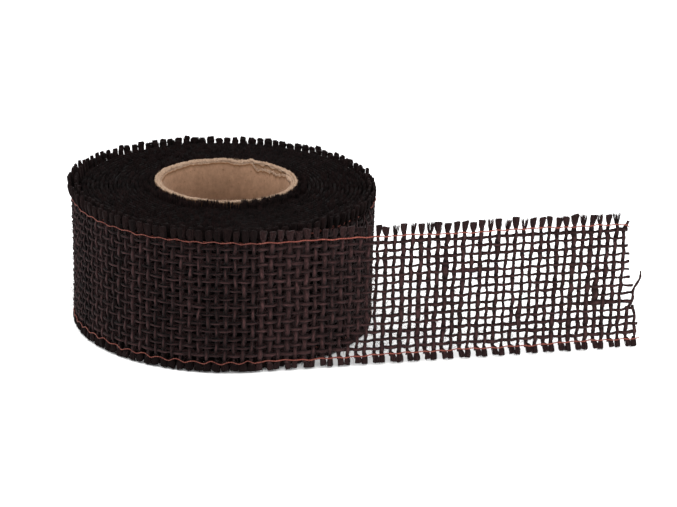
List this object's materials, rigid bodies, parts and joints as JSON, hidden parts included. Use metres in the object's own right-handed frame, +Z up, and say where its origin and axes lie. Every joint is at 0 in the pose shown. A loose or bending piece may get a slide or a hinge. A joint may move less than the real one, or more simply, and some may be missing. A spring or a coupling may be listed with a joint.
{
  "type": "ribbon spool",
  "caption": "Upright roll of open-weave burlap ribbon on a cardboard tube, with fringed edges and a free end drawn out straight.",
  "frame": {"origin": "the core's axis at the plane of its lower rim, which the roll stands on", "axes": "+Z up along the core's axis, +X along the ribbon's free end, which leaves the front (-Y) of the roll"},
  "size_m": [0.1526, 0.0865, 0.04],
  "materials": {
    "paperboard": "matte",
    "dark_yarn": "matte",
    "edge_thread": "matte"
  },
  "bodies": {
    "roll": {"core_inner_ply": "paperboard", "core_middle_ply": "paperboard", "core_outer_ply": "paperboard", "inner_turns": "dark_yarn", "outer_turn_wefts": "dark_yarn", "outer_turn_warps": "dark_yarn", "outer_turn_upper_stitch": "edge_thread", "outer_turn_lower_stitch": "edge_thread"},
    "tail_1": {"tail_1_wefts": "dark_yarn", "tail_1_warps": "dark_yarn", "tail_1_upper_stitch": "edge_thread", "tail_1_lower_stitch": "edge_thread"},
    "tail_2": {"tail_2_wefts": "dark_yarn", "tail_2_warps": "dark_yarn", "tail_2_upper_stitch": "edge_thread", "tail_2_lower_stitch": "edge_thread"},
    "tail_3": {"tail_3_wefts": "dark_yarn", "tail_3_warps": "dark_yarn", "tail_3_upper_stitch": "edge_thread", "tail_3_lower_stitch": "edge_thread"},
    "tail_4": {"tail_4_wefts": "dark_yarn", "tail_4_warps": "dark_yarn", "tail_4_upper_stitch": "edge_thread", "tail_4_lower_stitch": "edge_thread", "tail_4_loose_weft": "dark_yarn"}
  },
  "joints": [
    {"name": "tail_bend_1", "type": "hinge", "parent": "roll", "child": "tail_1", "pos_m": [0.01215, -0.04405, 0], "axis": [0, 0, 1], "range_deg": [-60, 30]},
    {"name": "tail_bend_2", "type": "hinge", "parent": "tail_1", "child": "tail_2", "pos_m": [0.03645, -0.04405, 0], "axis": [0, 0, 1], "range_deg": [-60, 30]},
    {"name": "tail_bend_3", "type": "hinge", "parent": "tail_2", "child": "tail_3", "pos_m": [0.06075, -0.04405, 0], "axis": [0, 0, 1], "range_deg": [-60, 30]},
    {"name": "tail_bend_4", "type": "hinge", "parent": "tail_3", "child": "tail_4", "pos_m": [0.08505, -0.04405, 0], "axis": [0, 0, 1], "range_deg": [-60, 30]}
  ]
}
